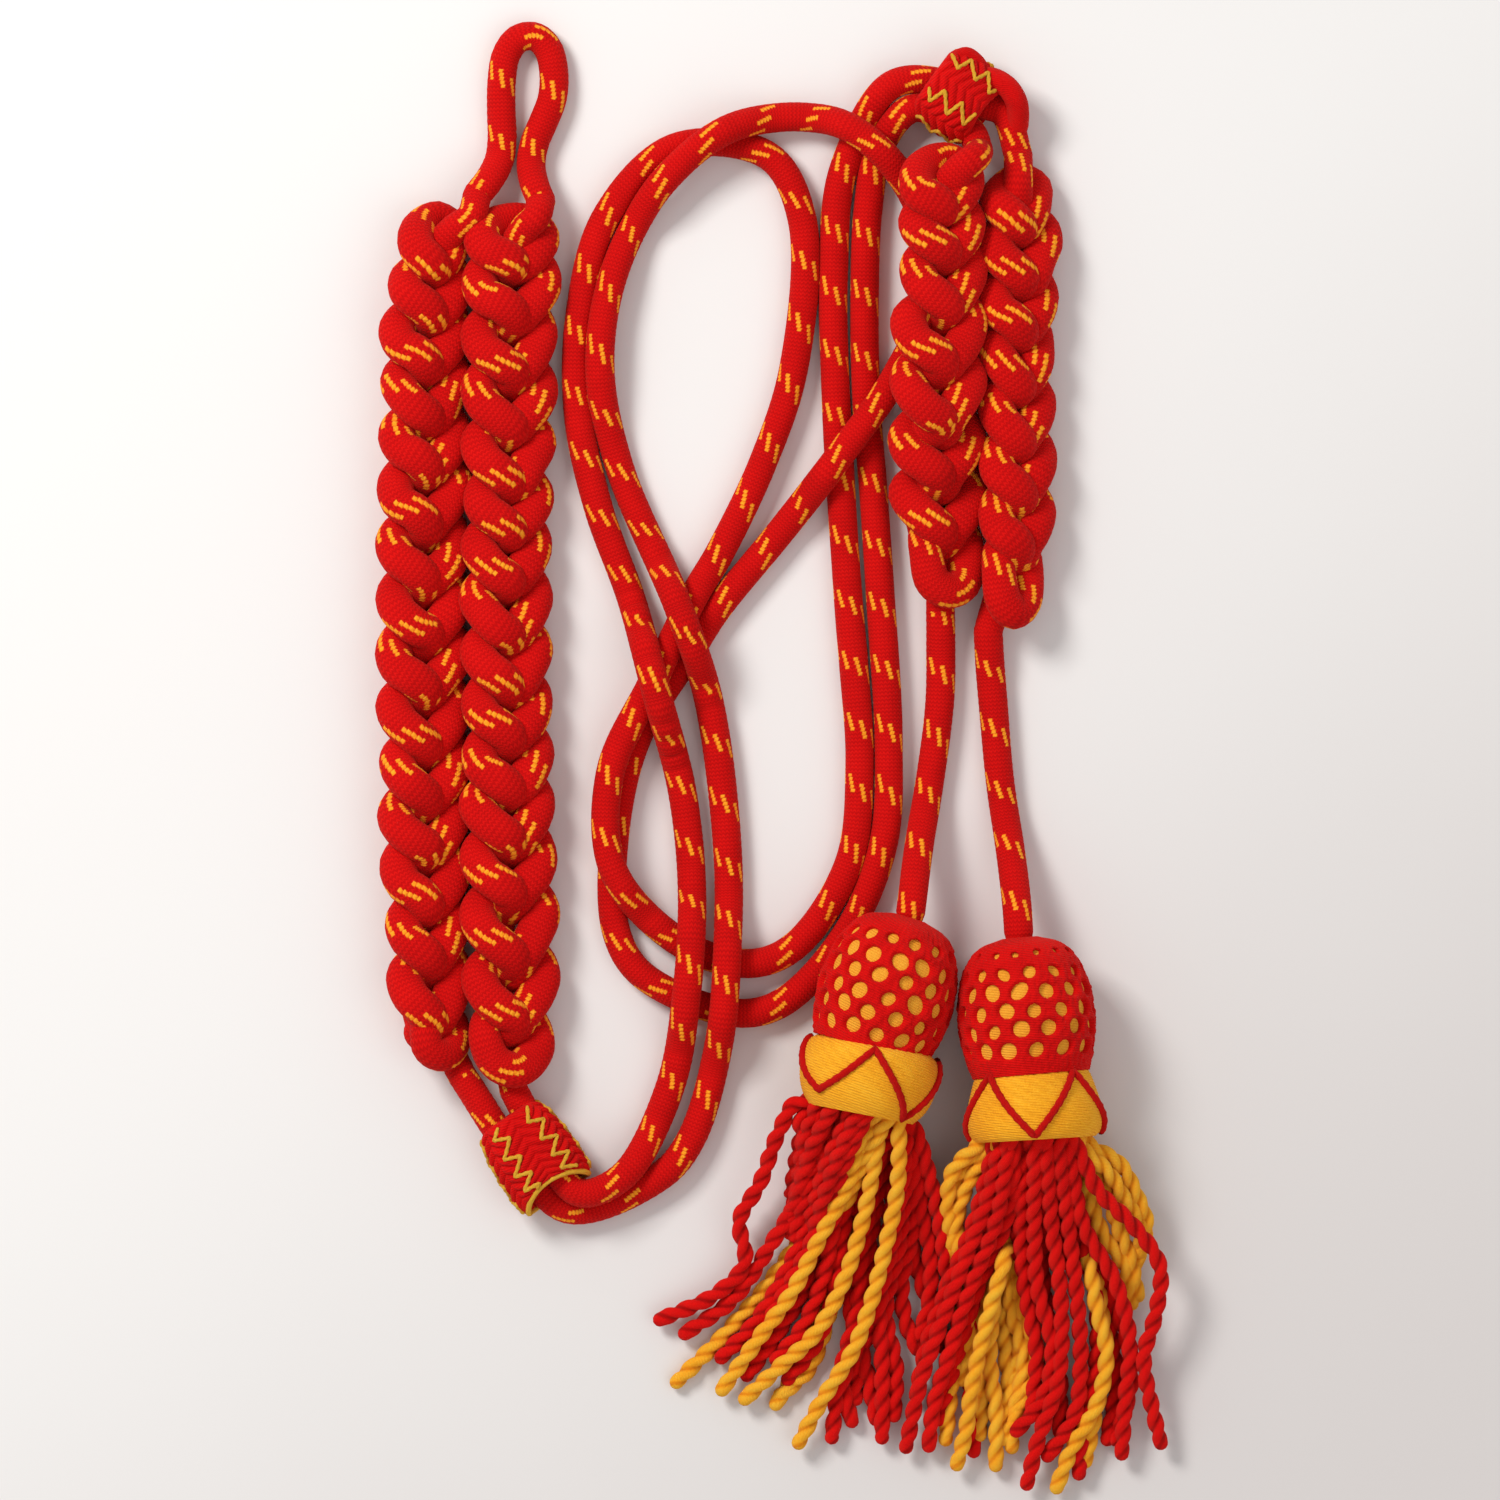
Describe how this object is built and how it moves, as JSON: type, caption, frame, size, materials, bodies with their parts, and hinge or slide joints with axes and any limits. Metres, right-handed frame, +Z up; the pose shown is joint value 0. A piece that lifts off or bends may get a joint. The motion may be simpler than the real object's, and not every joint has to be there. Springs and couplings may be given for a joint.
{
  "type": "tasselled dress cord",
  "caption": "Dress cord of the aiguillette kind laid flat: hanging loop, chain-plaited lengths, woven slide knots on paired long cords, and single cords ending in netted acorn tassels.",
  "frame": {"origin": "on the surface that the cord lies on, under the middle of the laid-out object without its free cords", "axes": "+Z is up from the surface, +Y points to the hanging loop and upper slide knot, -Y to the fringe tips, +X from the long plait to the tassels"},
  "size_m": [0.1896, 0.354, 0.0346],
  "materials": {
    "flecked_cord": "soft knitted cord, red with pairs of small yellow flecks",
    "knot_weave": "flat knitted braid, red with yellow zigzag threads",
    "red_yarn": "soft twisted red wool yarn",
    "yellow_yarn": "soft golden yellow wool yarn, slightly lustrous"
  },
  "bodies": {
    "root": {"hanging_loop": "flecked_cord", "long_plait_left": "flecked_cord", "long_plait_right": "flecked_cord", "slide_knot_a": "knot_weave", "cord_run_left": "flecked_cord", "cord_run_right": "flecked_cord", "slide_knot_b": "knot_weave", "short_plait_left": "flecked_cord", "short_plait_right": "flecked_cord", "tassel_cord_left": "flecked_cord", "tassel_cord_right": "flecked_cord", "acorn_head_left": "red_yarn", "acorn_collar_left": "yellow_yarn", "fringe_left": "red_yarn", "acorn_head_right": "red_yarn", "acorn_collar_right": "yellow_yarn", "fringe_right": "red_yarn"}
  },
  "joints": []
}
